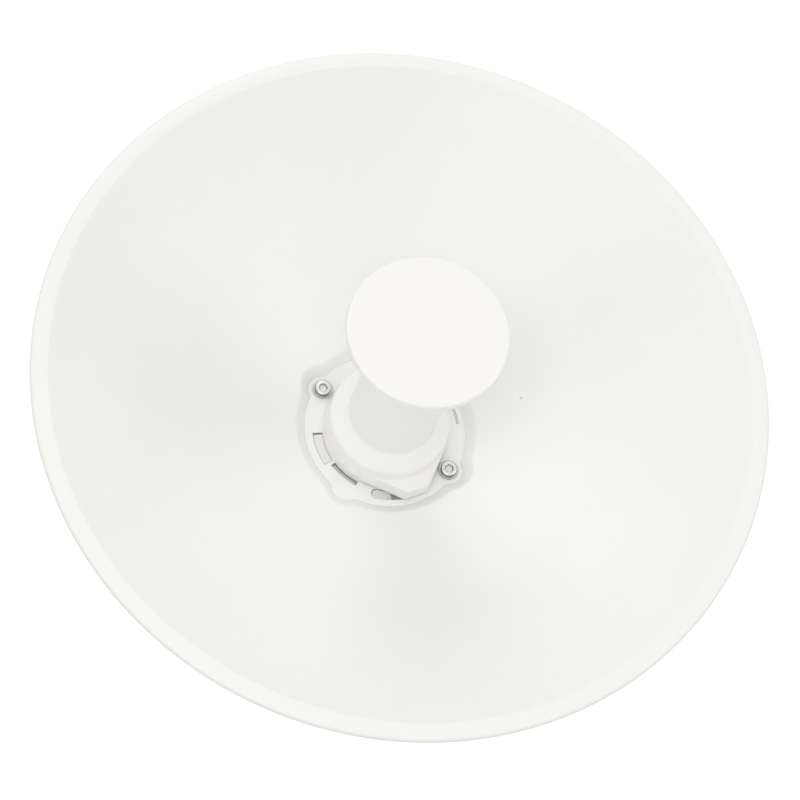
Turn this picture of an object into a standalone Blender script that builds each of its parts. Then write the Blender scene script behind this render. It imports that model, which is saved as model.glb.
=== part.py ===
"""Dish antenna for an outdoor point-to-point microwave link, on its mast bracket.

Metres, +Z up. The dish looks along -Y. The origin is the middle of the flat rear face of the
mast bracket. Most pieces are modelled lying on their backs: local X is to the right as seen from
the front, local Y is up, and local Z is the distance forward of the mast face. The empty named
boresight turns that frame so that forward becomes -Y.
"""

import math

import bmesh
import bpy
from mathutils import Matrix

# Dish, at distances forward of the mast face
FIT_GAP = 0.0003
DISH_RADIUS = 0.210
BOWL_RADIUS = 0.200
FOCAL_LENGTH = 0.128
RIM_FORWARD = 0.194
VERTEX_FORWARD = RIM_FORWARD + 0.0035 - BOWL_RADIUS**2 / (4 * FOCAL_LENGTH)
SHEET = 0.002
DISH_SEGMENTS = 88
REFLECTOR_HOLE_RADIUS = 0.0358

# Hub plate, screwed to the flat seat in the middle of the dish
HUB_FORWARD = 0.120
HUB_PLATE = 0.0022
HUB_RADIUS = 0.0480
LOBE_RADIUS = 0.0085
SCREW_CIRCLE = 0.0440
SEAT_MARGIN = 0.0003
SEAT_WALL = 0.0054
SCREW_HOLE_RADIUS = 0.0032
HUB_BORE_RADIUS = 0.0345

# Slots around the hub's middle: inner radius, outer radius, and from and to in degrees
LATCH_SLOT = (0.0375, 0.0433, 173, 201)
THIN_SLOT = (0.0370, 0.0401, 204, 231)
TAB_SLOT = (0.0375, 0.0440, 245, 275)
SIDE_SLOT = (0.0434, 0.0448, -4, 23)
NOTCH_INNER = 0.0300
NOTCH_MARGIN = 0.0006
SEAT_FORWARD = HUB_FORWARD - HUB_PLATE - FIT_GAP

# Feed: collar with its pointed tab, cone, tube and front disc
COLLAR_RADIUS = 0.0370
COLLAR_TAPER = 0.10
COLLAR_HEIGHT = 0.0182
SHOULDER_RADIUS = COLLAR_RADIUS - COLLAR_TAPER * COLLAR_HEIGHT
TAB_REACH = 0.0450
TAB_HALF_WIDTH = 0.0073
TAB_LIFT = 0.0013
TAB_HEIGHT = 0.0115
TAB_TURN = math.radians(10)
SPIGOT_RADIUS = 0.0335
CONE_TOP_RADIUS = 0.0268
CONE_HEIGHT = 0.0270
TUBE_SEAT = 0.0105
TUBE_RADIUS = 0.0255
DISC_RADIUS = 0.0450
DISC_EDGE = 0.0055
DISC_FORWARD = RIM_FORWARD + 0.0655
DISC_NECK_RADIUS = 0.0290
DISC_BACK_DEPTH = 0.0070

# Hub screws: low socket heads on flat washers
HUB_WASHER_RADIUS = 0.0060
HUB_WASHER_HEIGHT = 0.0008
CAP_RADIUS = 0.0048
CAP_HEIGHT = 0.0020
CAP_CHAMFER = 0.0005
CAP_HEX_RADIUS = 0.0026
CAP_HEX_DEPTH = 0.0015
HUB_SHANK_RADIUS = 0.0028

# Rear side: flange, radio housing, and the two brackets
FLANGE_SIDE = 0.124
FLANGE_CORNER = 0.029
FLANGE_DEPTH = 0.0085
FLANGE_FORWARD = SEAT_FORWARD - SHEET - FIT_GAP
SOCKET_RADIUS = 0.0342
SOCKET_DEPTH = 0.0060
HOUSING_SIDE = 0.118
HOUSING_CORNER = 0.026
HOUSING_REAR = 0.066
HOUSING_FORWARD = FLANGE_FORWARD - FLANGE_DEPTH - FIT_GAP
BRACKET_SHEET = 0.003
TILT_HALF_WIDTH = 0.041
TILT_HALF_HEIGHT = 0.034
TILT_REACH = 0.028
MAST_HALF_WIDTH = TILT_HALF_WIDTH + FIT_GAP + BRACKET_SHEET
MAST_HALF_HEIGHT = 0.050
MAST_REACH = 0.058
BEND_RADIUS = 0.003
PIVOT_FORWARD = 0.040
PIVOT_UP = -0.020
LOCK_RADIUS = 0.040
LOCK_SWING = 14
BOLT_RADIUS = 0.0040
BOLT_HOLE_RADIUS = 0.0043
BOLT_FLATS = 0.0065
BOLT_HEAD = 0.0053
BOLT_PAST_NUT = 0.0030
BOLT_WASHER_RADIUS = 0.0085
BOLT_WASHER_DEPTH = 0.0016
NUT_DEPTH = 0.0065
STRAP_SLOT_ACROSS = 0.027
STRAP_SLOT_UP = 0.032
STRAP_SLOT_HALF_LENGTH = 0.005
STRAP_SLOT_RADIUS = 0.0045
PANEL_SCREW_SPOT = 0.024
PANEL_SCREW_RADIUS = 0.0024
PANEL_SCREW_DEPTH = 0.010
PANEL_HEAD_RADIUS = 0.0045
PANEL_HEAD = 0.0028
PANEL_HEX_RADIUS = 0.0017
COVER_SIZE = (0.064, 0.004, 0.030)
COVER_FORWARD = 0.0865
GLAND_BORE = 0.0040
GLAND_THREAD_RADIUS = 0.0068
GLAND_FLANGE_RADIUS = 0.0098
GLAND_FLANGE_DEPTH = 0.0050
GLAND_DEPTH = 0.0120
GLAND_NUT_RADIUS = 0.0095
GLAND_NUT_DEPTH = 0.0180
GLAND_NUT_NOSE = 0.0072
CUTTER_REACH = 0.02

PAINT = (0.88, 0.88, 0.85)
MOULDING = (0.87, 0.87, 0.84)
STEEL = (0.55, 0.56, 0.57)
ZINC = (0.62, 0.63, 0.64)
RUBBER = (0.03, 0.03, 0.03)


def clear_scene():
    for item in list(bpy.data.objects):
        bpy.data.objects.remove(item, do_unlink=True)


def add_collection(name):
    collection = bpy.data.collections.new(name)
    bpy.context.scene.collection.children.link(collection)
    return collection


def finish_of(name, colour, roughness, metallic=0.0):
    material = bpy.data.materials.new(name)
    material.use_nodes = True
    shader = material.node_tree.nodes["Principled BSDF"]
    shader.inputs["Base Color"].default_value = (*colour, 1.0)
    shader.inputs["Roughness"].default_value = roughness
    shader.inputs["Metallic"].default_value = metallic
    return material


def place(name, mesh, finish, spot=(0.0, 0.0, 0.0), turn=0.0):
    """A piece in the boresight frame, at a spot given as right, up and forward."""
    piece = bpy.data.objects.new(name, mesh)
    piece.location = spot
    piece.rotation_euler = (0.0, 0.0, turn)
    piece.parent = BORESIGHT
    PARTS.objects.link(piece)
    mesh.materials.append(finish)
    return piece


def smooth(mesh, angle=35):
    mesh.shade_smooth()
    mesh.set_sharp_from_angle(angle=math.radians(angle))


def turned_mesh(name, profile, segments):
    """A solid of revolution about Z, from (radius, height) points down its outer side."""
    mesh = bpy.data.meshes.new(name)
    guide = bmesh.new()
    points = [guide.verts.new((radius, 0.0, height)) for radius, height in profile]
    ring = list(zip(points, points[1:]))
    if profile[0][0] > 0:
        ring.append((points[-1], points[0]))
    for start, end in ring:
        guide.edges.new((start, end))
    guide.to_mesh(mesh)
    guide.free()
    holder = bpy.data.objects.new(name + "_profile", mesh)
    PARTS.objects.link(holder)
    screw = holder.modifiers.new("Turn", "SCREW")
    screw.steps = segments
    screw.render_steps = segments
    screw.use_merge_vertices = True
    screw.merge_threshold = 0.00001
    screw.use_normal_calculate = False
    solid = baked(holder, name)
    smooth(solid)
    return solid


def baked(holder, name):
    """The evaluated mesh of a helper object, which is then removed."""
    bpy.context.view_layer.update()
    graph = bpy.context.evaluated_depsgraph_get()
    mesh = bpy.data.meshes.new_from_object(holder.evaluated_get(graph))
    mesh.name = name
    bpy.data.objects.remove(holder, do_unlink=True)
    weld = bmesh.new()
    weld.from_mesh(mesh)
    bmesh.ops.remove_doubles(weld, verts=weld.verts, dist=0.00001)
    bmesh.ops.recalc_face_normals(weld, faces=weld.faces)
    weld.to_mesh(mesh)
    weld.free()
    return mesh


def sheet_mesh(name, outlines, thickness):
    """A flat plate from closed outlines, the first its edge and the others its holes."""
    curve = bpy.data.curves.new(name, "CURVE")
    curve.dimensions = "2D"
    curve.fill_mode = "BOTH"
    curve.extrude = thickness / 2
    for outline in outlines:
        spline = curve.splines.new("POLY")
        spline.points.add(len(outline) - 1)
        for point, (across, up) in zip(spline.points, outline):
            point.co = (across, up, 0.0, 1.0)
        spline.use_cyclic_u = True
    holder = bpy.data.objects.new(name + "_outline", curve)
    PARTS.objects.link(holder)
    return baked(holder, name)


def soften(piece, width, segments=2, angle=40):
    bevel = piece.modifiers.new("Edges", "BEVEL")
    bevel.width = width
    bevel.segments = segments
    bevel.limit_method = "ANGLE"
    bevel.angle_limit = math.radians(angle)
    bevel.use_clamp_overlap = True
    smooth(piece.data)


def arc(radius, start, end, steps, centre=(0.0, 0.0)):
    """Points from the start angle to the end angle, in degrees."""
    turns = [math.radians(start + (end - start) * step / steps) for step in range(steps + 1)]
    return [(centre[0] + radius * math.cos(t), centre[1] + radius * math.sin(t)) for t in turns]


def circle(radius, steps, centre=(0.0, 0.0)):
    return arc(radius, 0, 360, steps, centre)[:-1]


def arc_slot(inner, outer, start, end, steps=6):
    """A slot around the middle with straight ends."""
    return arc(outer, start, end, steps) + arc(inner, end, start, steps)


def round_start_slot(inner, outer, start, end, steps=6):
    """A slot around the middle whose first end is round."""
    middle = (inner + outer) / 2
    radius = (outer - inner) / 2
    first = start + math.degrees(math.asin(radius / middle))
    turn = math.radians(first)
    centre = (middle * math.cos(turn), middle * math.sin(turn))
    nose = arc(radius, first + 180, first + 360, steps, centre)[1:-1]
    return arc_slot(inner, outer, first, end, steps) + nose


def round_slot(centre, half_length, radius, steps=6):
    """An upright slot with round ends."""
    across, up = centre
    top = arc(radius, 0, 180, steps, (across, up + half_length))
    bottom = arc(radius, 180, 360, steps, (across, up - half_length))
    return top + bottom


def rounded_square(side, corner, steps=6):
    reach = side / 2 - corner
    spots = [(reach, reach), (-reach, reach), (-reach, -reach), (reach, -reach)]
    return [p for i, spot in enumerate(spots) for p in arc(corner, 90 * i, 90 * i + 90, steps, spot)]


def seat_radius(angle, margin):
    """Outline of the hub seat: a circle with a rounded lobe on each diagonal."""
    around = HUB_RADIUS + margin
    lobe = LOBE_RADIUS + margin
    nearest = math.radians(45) + math.radians(90) * math.floor(angle / math.radians(90))
    swing = math.sin(angle - nearest) * SCREW_CIRCLE
    if abs(swing) >= lobe:
        return around
    reach = SCREW_CIRCLE * math.cos(angle - nearest) + math.sqrt(lobe**2 - swing**2)
    blend = 0.0008
    return blend * math.log(math.exp(around / blend) + math.exp(reach / blend))


def bowl_height(radius):
    return VERTEX_FORWARD + radius**2 / (4 * FOCAL_LENGTH)


def reflector_mesh():
    """The front skin of the dish: flat seat, sloping seat wall, bowl and rolled lip."""
    lip = [(0.2010, 0.0038), (0.2045, 0.0041), (0.2080, 0.0035), (0.2095, 0.0022)]
    lip += [(DISH_RADIUS, 0.0006), (DISH_RADIUS, -0.0010)]
    bowl_radii = [0.066, 0.090, 0.118, 0.146, 0.174, BOWL_RADIUS]
    mesh = bpy.data.meshes.new("reflector")
    shell = bmesh.new()
    rings = []
    for step in range(DISH_SEGMENTS):
        angle = 2 * math.pi * step / DISH_SEGMENTS
        floor_edge = seat_radius(angle, SEAT_MARGIN)
        wall_top = seat_radius(angle, SEAT_WALL)
        spots = [(REFLECTOR_HOLE_RADIUS, SEAT_FORWARD), (floor_edge, SEAT_FORWARD)]
        spots += [(wall_top, bowl_height(wall_top))]
        spots += [(radius, bowl_height(radius)) for radius in bowl_radii]
        spots += [(radius, RIM_FORWARD + height) for radius, height in lip]
        across, up = math.cos(angle), math.sin(angle)
        rings.append([shell.verts.new((r * across, r * up, h)) for r, h in spots])
    for near, far in zip(rings, rings[1:] + rings[:1]):
        for inner in range(len(near) - 1):
            shell.faces.new((near[inner], near[inner + 1], far[inner + 1], far[inner]))
    shell.to_mesh(mesh)
    shell.free()
    smooth(mesh)
    return mesh


def combine(piece, operation, tool):
    boolean = piece.modifiers.new(tool.name, "BOOLEAN")
    boolean.operation = operation
    boolean.solver = "EXACT"
    boolean.object = tool


def cut(piece, cutters):
    for cutter in cutters:
        combine(piece, "DIFFERENCE", cutter)


def cutter_of(name, mesh, spot=(0.0, 0.0, 0.0)):
    tool = bpy.data.objects.new(name, mesh)
    tool.location = spot
    tool.parent = BORESIGHT
    tool.hide_render = True
    tool.display_type = "WIRE"
    CUTTERS.objects.link(tool)
    return tool


def cylinder_mesh(name, radius, depth, segments=20):
    """A cylinder standing on Z = 0."""
    mesh = bpy.data.meshes.new(name)
    solid = bmesh.new()
    lift = Matrix.Translation((0.0, 0.0, depth / 2))
    bmesh.ops.create_cone(
        solid, cap_ends=True, segments=segments, radius1=radius, radius2=radius, depth=depth, matrix=lift
    )
    solid.to_mesh(mesh)
    solid.free()
    smooth(mesh)
    return mesh


def box_mesh(name, size):
    mesh = bpy.data.meshes.new(name)
    solid = bmesh.new()
    bmesh.ops.create_cube(solid, size=1.0)
    bmesh.ops.scale(solid, vec=size, verts=solid.verts)
    solid.to_mesh(mesh)
    solid.free()
    return mesh


def diagonal_spots():
    reach = SCREW_CIRCLE / math.sqrt(2)
    return {"upper": (-reach, reach), "lower": (reach, -reach)}


def build_reflector():
    reflector = place("reflector", reflector_mesh(), WHITE_PAINT)
    thicken = reflector.modifiers.new("Sheet", "SOLIDIFY")
    thicken.thickness = SHEET
    thicken.offset = -1.0
    thicken.use_even_offset = True
    holes = []
    for side, (across, up) in diagonal_spots().items():
        mesh = cylinder_mesh("seat_hole_" + side, SCREW_HOLE_RADIUS, CUTTER_REACH)
        spot = (across, up, SEAT_FORWARD - CUTTER_REACH / 2)
        holes.append(cutter_of("seat_hole_" + side, mesh, spot))
    slots = (LATCH_SLOT, THIN_SLOT, TAB_SLOT, SIDE_SLOT)
    for number, (inner, outer, start, end) in enumerate(slots, 1):
        outline = arc_slot(NOTCH_INNER, outer + NOTCH_MARGIN, start - 1, end + 1)
        name = "seat_notch_%d" % number
        mesh = sheet_mesh(name, [outline], CUTTER_REACH)
        holes.append(cutter_of(name, mesh, (0.0, 0.0, SEAT_FORWARD)))
    cut(reflector, holes)


def build_hub_plate():
    steps = 72
    edge = []
    for step in range(steps):
        angle = 2 * math.pi * step / steps
        radius = seat_radius(angle, 0.0)
        edge.append((radius * math.cos(angle), radius * math.sin(angle)))
    outlines = [edge, circle(HUB_BORE_RADIUS, 48)]
    outlines += [arc_slot(*slot) for slot in (LATCH_SLOT, THIN_SLOT, SIDE_SLOT)]
    outlines.append(round_start_slot(*TAB_SLOT))
    for across, up in diagonal_spots().values():
        outlines.append(circle(SCREW_HOLE_RADIUS, 16, (across, up)))
    mesh = sheet_mesh("hub_plate", outlines, HUB_PLATE)
    place("hub_plate", mesh, MOULDED_WHITE, (0.0, 0.0, HUB_FORWARD - HUB_PLATE / 2))


def washer_mesh(name, radius, bore, height, segments=20):
    """A flat ring lying on Z = 0."""
    return turned_mesh(name, [(radius, height), (radius, 0.0), (bore, 0.0), (bore, height)], segments)


def cap_screw_mesh(name, shank):
    """A cap screw with its head standing on Z = 0 and its shank running down."""
    profile = [(0.0, CAP_HEIGHT), (CAP_RADIUS - CAP_CHAMFER, CAP_HEIGHT)]
    profile += [(CAP_RADIUS, CAP_HEIGHT - CAP_CHAMFER), (CAP_RADIUS, 0.0)]
    profile += [(HUB_SHANK_RADIUS, 0.0), (HUB_SHANK_RADIUS, -shank), (0.0, -shank)]
    return turned_mesh(name, profile, 20)


def build_hub_screws():
    for side, (across, up) in diagonal_spots().items():
        seat = HUB_FORWARD + FIT_GAP
        name = "hub_washer_" + side
        washer = washer_mesh(name, HUB_WASHER_RADIUS, SCREW_HOLE_RADIUS, HUB_WASHER_HEIGHT)
        place(name, washer, STEEL_FINISH, (across, up, seat))
        seat += HUB_WASHER_HEIGHT + FIT_GAP
        name = "hub_screw_" + side
        shank = seat - (FLANGE_FORWARD - FLANGE_DEPTH + FIT_GAP)
        screw = place(name, cap_screw_mesh(name, shank), STEEL_FINISH, (across, up, seat))
        hexagon = cylinder_mesh(name + "_socket", CAP_HEX_RADIUS, CUTTER_REACH, 6)
        floor = seat + CAP_HEIGHT - CAP_HEX_DEPTH
        cut(screw, [cutter_of(name + "_socket", hexagon, (across, up, floor))])


def tab_mesh():
    """The tab: flanks at 45 degrees to a blunt end, drafted like the collar's wall, and turned."""
    corner = 0.0012
    start = (COLLAR_RADIUS - 0.0004) / math.sqrt(2)
    outline = [(0.0, -0.031), (-start, -start)]
    outline += [(-TAB_HALF_WIDTH, -TAB_REACH + corner), (-TAB_HALF_WIDTH + corner, -TAB_REACH)]
    outline += [(TAB_HALF_WIDTH - corner, -TAB_REACH), (TAB_HALF_WIDTH, -TAB_REACH + corner)]
    outline += [(start, -start)]
    mesh = sheet_mesh("collar_tab", [outline], TAB_HEIGHT - TAB_LIFT)
    middle = (TAB_HEIGHT + TAB_LIFT) / 2
    for vert in mesh.vertices:
        height = vert.co.z + middle
        share = 1 - COLLAR_TAPER * height / COLLAR_RADIUS
        vert.co = (vert.co.x * share, vert.co.y * share, height)
    mesh.transform(Matrix.Rotation(TAB_TURN, 4, "Z"))
    return mesh


def build_collar():
    foot = HUB_FORWARD + FIT_GAP
    low = FLANGE_FORWARD - SOCKET_DEPTH + FIT_GAP - foot
    profile = [(0.0, CONE_HEIGHT), (CONE_TOP_RADIUS, CONE_HEIGHT)]
    profile += [(SHOULDER_RADIUS - 0.0011, COLLAR_HEIGHT + 0.0009)]
    profile += [(SHOULDER_RADIUS - 0.0002, COLLAR_HEIGHT - 0.0002)]
    profile += [(SHOULDER_RADIUS + 0.0001, COLLAR_HEIGHT - 0.0014)]
    profile += [(COLLAR_RADIUS, 0.0), (SPIGOT_RADIUS, 0.0), (SPIGOT_RADIUS, low), (0.0, low)]
    collar = place("feed_collar", turned_mesh("feed_collar", profile, 72), MOULDED_WHITE, (0.0, 0.0, foot))
    combine(collar, "UNION", cutter_of("collar_tab", tab_mesh(), (0.0, 0.0, foot)))
    hollow = cylinder_mesh("collar_bore", TUBE_RADIUS + FIT_GAP, CONE_HEIGHT, 54)
    cut(collar, [cutter_of("collar_bore", hollow, (0.0, 0.0, foot + TUBE_SEAT))])


def build_tube_and_disc():
    foot = HUB_FORWARD + FIT_GAP + TUBE_SEAT + FIT_GAP
    back = DISC_FORWARD - DISC_EDGE - DISC_BACK_DEPTH
    length = back - FIT_GAP - foot
    tube = cylinder_mesh("feed_tube", TUBE_RADIUS, length, 54)
    place("feed_tube", tube, MOULDED_WHITE, (0.0, 0.0, foot))
    rim = DISC_RADIUS
    profile = [(0.0, 0.0), (0.030, -0.0003), (rim - 0.0030, -0.0008), (rim - 0.0010, -0.0016)]
    profile += [(rim, -0.0032), (rim, -DISC_EDGE), (rim - 0.0012, -DISC_EDGE - 0.0012)]
    profile += [(DISC_NECK_RADIUS, -DISC_EDGE - DISC_BACK_DEPTH), (0.0, -DISC_EDGE - DISC_BACK_DEPTH)]
    disc = turned_mesh("feed_disc", profile, 60)
    place("feed_disc", disc, MOULDED_WHITE, (0.0, 0.0, DISC_FORWARD))


def build_flange():
    outlines = [rounded_square(FLANGE_SIDE, FLANGE_CORNER)]
    for across, up in diagonal_spots().values():
        outlines.append(circle(SCREW_HOLE_RADIUS, 16, (across, up)))
    mesh = sheet_mesh("rear_flange", outlines, FLANGE_DEPTH)
    flange = place("rear_flange", mesh, WHITE_PAINT, (0, 0, FLANGE_FORWARD - FLANGE_DEPTH / 2))
    socket = cylinder_mesh("flange_socket", SOCKET_RADIUS, CUTTER_REACH, 54)
    cut(flange, [cutter_of("flange_socket", socket, (0, 0, FLANGE_FORWARD - SOCKET_DEPTH))])


def panel_spots():
    reach = PANEL_SCREW_SPOT
    return [(-reach, reach), (reach, reach), (-reach, -reach), (reach, -reach)]


def build_housing():
    depth = HOUSING_FORWARD - HOUSING_REAR
    mesh = sheet_mesh("radio_housing", [rounded_square(HOUSING_SIDE, HOUSING_CORNER)], depth)
    housing = place("radio_housing", mesh, WHITE_PAINT, (0, 0, HOUSING_REAR + depth / 2))
    soften(housing, 0.004, 3)
    holes = []
    for number, (across, up) in enumerate(panel_spots(), 1):
        name = "panel_hole_%d" % number
        hole = cylinder_mesh(name, PANEL_SCREW_RADIUS + FIT_GAP, CUTTER_REACH, 14)
        bottom = HOUSING_REAR + PANEL_SCREW_DEPTH - CUTTER_REACH
        holes.append(cutter_of(name, hole, (across, up, bottom)))
    cut(housing, holes)


def channel_mesh(name, half_width, height, start, end, web_first):
    """A bent channel: its web lies across and its two cheeks run along the forward axis."""
    sheet, bend = BRACKET_SHEET, BEND_RADIUS
    web, tip = (start, end) if web_first else (end, start)
    toward = 1.0 if tip > web else -1.0
    outer = arc(bend + sheet, 180, 270, 5, (-half_width + bend + sheet, bend + sheet))
    inner = arc(bend, 270, 180, 5, (-half_width + bend + sheet, bend + sheet))
    length = abs(tip - web)
    left = [(-half_width, length)] + outer
    right = [(-x, y) for x, y in reversed(left)]
    inside = [(-x, y) for x, y in reversed(inner + [(-half_width + sheet, length)])]
    outline = left + right + inside + inner + [(-half_width + sheet, length)]
    outline = [(x, web + toward * y) for x, y in outline]
    mesh = sheet_mesh(name, [outline], height)
    mesh.transform(Matrix.Rotation(math.radians(90), 4, "X"))
    return mesh


def side_tool(name, outline):
    """A cutter across both cheeks, from an outline of (forward, up) points."""
    mesh = sheet_mesh(name, [outline], 0.2)
    mesh.transform(Matrix.Rotation(math.radians(-90), 4, "Y"))
    return cutter_of(name, mesh)


def lock_spot(swing):
    turn = math.radians(90 + swing)
    return (PIVOT_FORWARD + LOCK_RADIUS * math.cos(turn), PIVOT_UP + LOCK_RADIUS * math.sin(turn))


def lock_slot_outline():
    """The curved slot that the lock bolt runs in, centred on the pivot."""
    pivot = (PIVOT_FORWARD, PIVOT_UP)
    low, high = 90 - LOCK_SWING, 90 + LOCK_SWING
    radius = BOLT_HOLE_RADIUS
    outline = arc(LOCK_RADIUS + radius, low, high, 6, pivot)
    outline += arc(radius, high, high + 180, 6, lock_spot(LOCK_SWING))[1:-1]
    outline += arc(LOCK_RADIUS - radius, high, low, 6, pivot)
    outline += arc(radius, low + 180, low + 360, 6, lock_spot(-LOCK_SWING))[1:-1]
    return outline


def cheek_outline(root, tip, half_height, corner):
    """A plate profile from its root line to its tip, with rounded corners at the tip."""
    toward = 1.0 if tip > root else -1.0
    end = tip - toward * corner
    upper = [(root, half_height)]
    upper += [(end + toward * x, half_height - corner + y) for x, y in reversed(arc(corner, 0, 90, 6))]
    return upper + [(x, -y) for x, y in reversed(upper)]


def build_tilt_bracket():
    rear = HOUSING_REAR - FIT_GAP
    height = 2 * TILT_HALF_HEIGHT
    mesh = channel_mesh("tilt_bracket", TILT_HALF_WIDTH, height, TILT_REACH, rear, False)
    bracket = place("tilt_bracket", mesh, ZINC_FINISH)
    outline = cheek_outline(rear + 0.01, TILT_REACH, TILT_HALF_HEIGHT + 0.001, 0.016)
    outline = [(x, max(-TILT_HALF_HEIGHT - 0.001, y)) for x, y in outline]
    combine(bracket, "INTERSECT", side_tool("tilt_profile", outline))
    spots = [(PIVOT_FORWARD, PIVOT_UP), lock_spot(0)]
    holes = []
    for number, spot in enumerate(spots, 1):
        holes.append(side_tool("tilt_hole_%d" % number, circle(BOLT_HOLE_RADIUS, 20, spot)))
    for number, (across, up) in enumerate(panel_spots(), 1):
        name = "web_hole_%d" % number
        hole = cylinder_mesh(name, PANEL_SCREW_RADIUS + FIT_GAP, CUTTER_REACH, 14)
        holes.append(cutter_of(name, hole, (across, up, rear - CUTTER_REACH / 2)))
    cut(bracket, holes)


def build_mast_bracket():
    height = 2 * MAST_HALF_HEIGHT
    mesh = channel_mesh("mast_bracket", MAST_HALF_WIDTH, height, 0.0, MAST_REACH, True)
    bracket = place("mast_bracket", mesh, ZINC_FINISH)
    outline = cheek_outline(-0.01, MAST_REACH, MAST_HALF_HEIGHT + 0.001, 0.020)
    combine(bracket, "INTERSECT", side_tool("mast_profile", outline))
    tools = [side_tool("mast_hole", circle(BOLT_HOLE_RADIUS, 20, (PIVOT_FORWARD, PIVOT_UP)))]
    tools.append(side_tool("mast_lock_slot", lock_slot_outline()))
    for number, (side, level) in enumerate([(-1, 1), (1, 1), (-1, -1), (1, -1)], 1):
        spot = (side * STRAP_SLOT_ACROSS, level * STRAP_SLOT_UP)
        name = "strap_slot_%d" % number
        slot = round_slot(spot, STRAP_SLOT_HALF_LENGTH, STRAP_SLOT_RADIUS)
        tools.append(cutter_of(name, sheet_mesh(name, [slot], CUTTER_REACH)))
    cut(bracket, tools)


def along_x(mesh, side):
    mesh.transform(Matrix.Rotation(math.radians(90 * side), 4, "Y"))
    return mesh


def hexagon_radius(flats):
    return flats / math.cos(math.radians(30))


def place_bolt(name, side, seat, tip, up, forward):
    """A hexagon bolt along X: its head stands on the seat and its shank runs in to the tip."""
    head = along_x(cylinder_mesh(name, hexagon_radius(BOLT_FLATS), BOLT_HEAD, 6), side)
    bolt = place(name, head, ZINC_FINISH, (side * seat, up, forward))
    length = seat + BOLT_HEAD / 2 - tip
    shank = along_x(cylinder_mesh(name + "_shank", BOLT_RADIUS, length), side)
    combine(bolt, "UNION", cutter_of(name + "_shank", shank, (side * tip, up, forward)))


def nut_mesh(name):
    """A hexagon nut lying on Z = 0."""
    outline = circle(hexagon_radius(BOLT_FLATS), 6)
    mesh = sheet_mesh(name, [outline, circle(BOLT_HOLE_RADIUS, 20)], NUT_DEPTH)
    mesh.transform(Matrix.Translation((0.0, 0.0, NUT_DEPTH / 2)))
    return mesh


def build_tilt_fasteners():
    bolts = {"pivot": (PIVOT_FORWARD, PIVOT_UP), "lock": lock_spot(0)}
    outer_face = MAST_HALF_WIDTH + FIT_GAP
    inner_face = TILT_HALF_WIDTH - BRACKET_SHEET - FIT_GAP
    for kind, (forward, up) in bolts.items():
        for side, label in ((1, "right"), (-1, "left")):
            name = "%s_washer_%s" % (kind, label)
            washer = washer_mesh(name, BOLT_WASHER_RADIUS, BOLT_HOLE_RADIUS, BOLT_WASHER_DEPTH)
            place(name, along_x(washer, side), ZINC_FINISH, (side * outer_face, up, forward))
            seat = outer_face + BOLT_WASHER_DEPTH + FIT_GAP
            tip = inner_face - NUT_DEPTH - BOLT_PAST_NUT
            place_bolt("%s_bolt_%s" % (kind, label), side, seat, tip, up, forward)
            name = "%s_nut_%s" % (kind, label)
            nut = along_x(nut_mesh(name), -side)
            place(name, nut, ZINC_FINISH, (side * inner_face, up, forward))


def build_panel_screws():
    rear = HOUSING_REAR - FIT_GAP - BRACKET_SHEET - FIT_GAP
    radius, head = PANEL_HEAD_RADIUS, PANEL_HEAD
    shank = BRACKET_SHEET + FIT_GAP + PANEL_SCREW_DEPTH
    for number, (across, up) in enumerate(panel_spots(), 1):
        name = "panel_screw_%d" % number
        profile = [(0.0, shank), (PANEL_SCREW_RADIUS, shank), (PANEL_SCREW_RADIUS, 0.0), (radius, 0.0)]
        profile += [(radius, -0.6 * head), (0.8 * radius, -head), (0.0, -head)]
        screw = turned_mesh(name, profile, 14)
        piece = place(name, screw, STEEL_FINISH, (across, up, rear))
        hexagon = cylinder_mesh(name + "_socket", PANEL_HEX_RADIUS, head, 6)
        cut(piece, [cutter_of(name + "_socket", hexagon, (across, up, rear - 1.4 * head))])


def build_ports():
    across, depth, length = COVER_SIZE
    below = -HOUSING_SIDE / 2 - FIT_GAP
    mesh = box_mesh("port_cover", (across, depth, length))
    cover = place("port_cover", mesh, MOULDED_WHITE, (0.0, below - depth / 2, COVER_FORWARD))
    soften(cover, 0.0012, 2)
    down = Matrix.Rotation(math.radians(-90), 4, "X")
    seat = (0.0, below - depth - FIT_GAP, COVER_FORWARD)
    profile = [(GLAND_FLANGE_RADIUS, 0.0), (GLAND_FLANGE_RADIUS, -GLAND_FLANGE_DEPTH)]
    profile += [(GLAND_THREAD_RADIUS, -GLAND_FLANGE_DEPTH), (GLAND_THREAD_RADIUS, -GLAND_DEPTH)]
    profile += [(GLAND_BORE, -GLAND_DEPTH), (GLAND_BORE, 0.0)]
    body = turned_mesh("cable_gland", profile, 20)
    body.transform(down)
    place("cable_gland", body, DARK_MOULDING, seat)
    hollow = GLAND_THREAD_RADIUS + FIT_GAP
    top = -GLAND_FLANGE_DEPTH - FIT_GAP
    shoulder = -GLAND_DEPTH - FIT_GAP
    profile = [(GLAND_NUT_RADIUS, top), (GLAND_NUT_RADIUS, -0.8 * GLAND_NUT_DEPTH)]
    profile += [(GLAND_NUT_NOSE, -GLAND_NUT_DEPTH), (GLAND_BORE, -GLAND_NUT_DEPTH)]
    profile += [(GLAND_BORE, shoulder), (hollow, shoulder), (hollow, top)]
    nut = turned_mesh("gland_nut", profile, 20)
    nut.transform(down)
    place("gland_nut", nut, DARK_MOULDING, seat)


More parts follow.
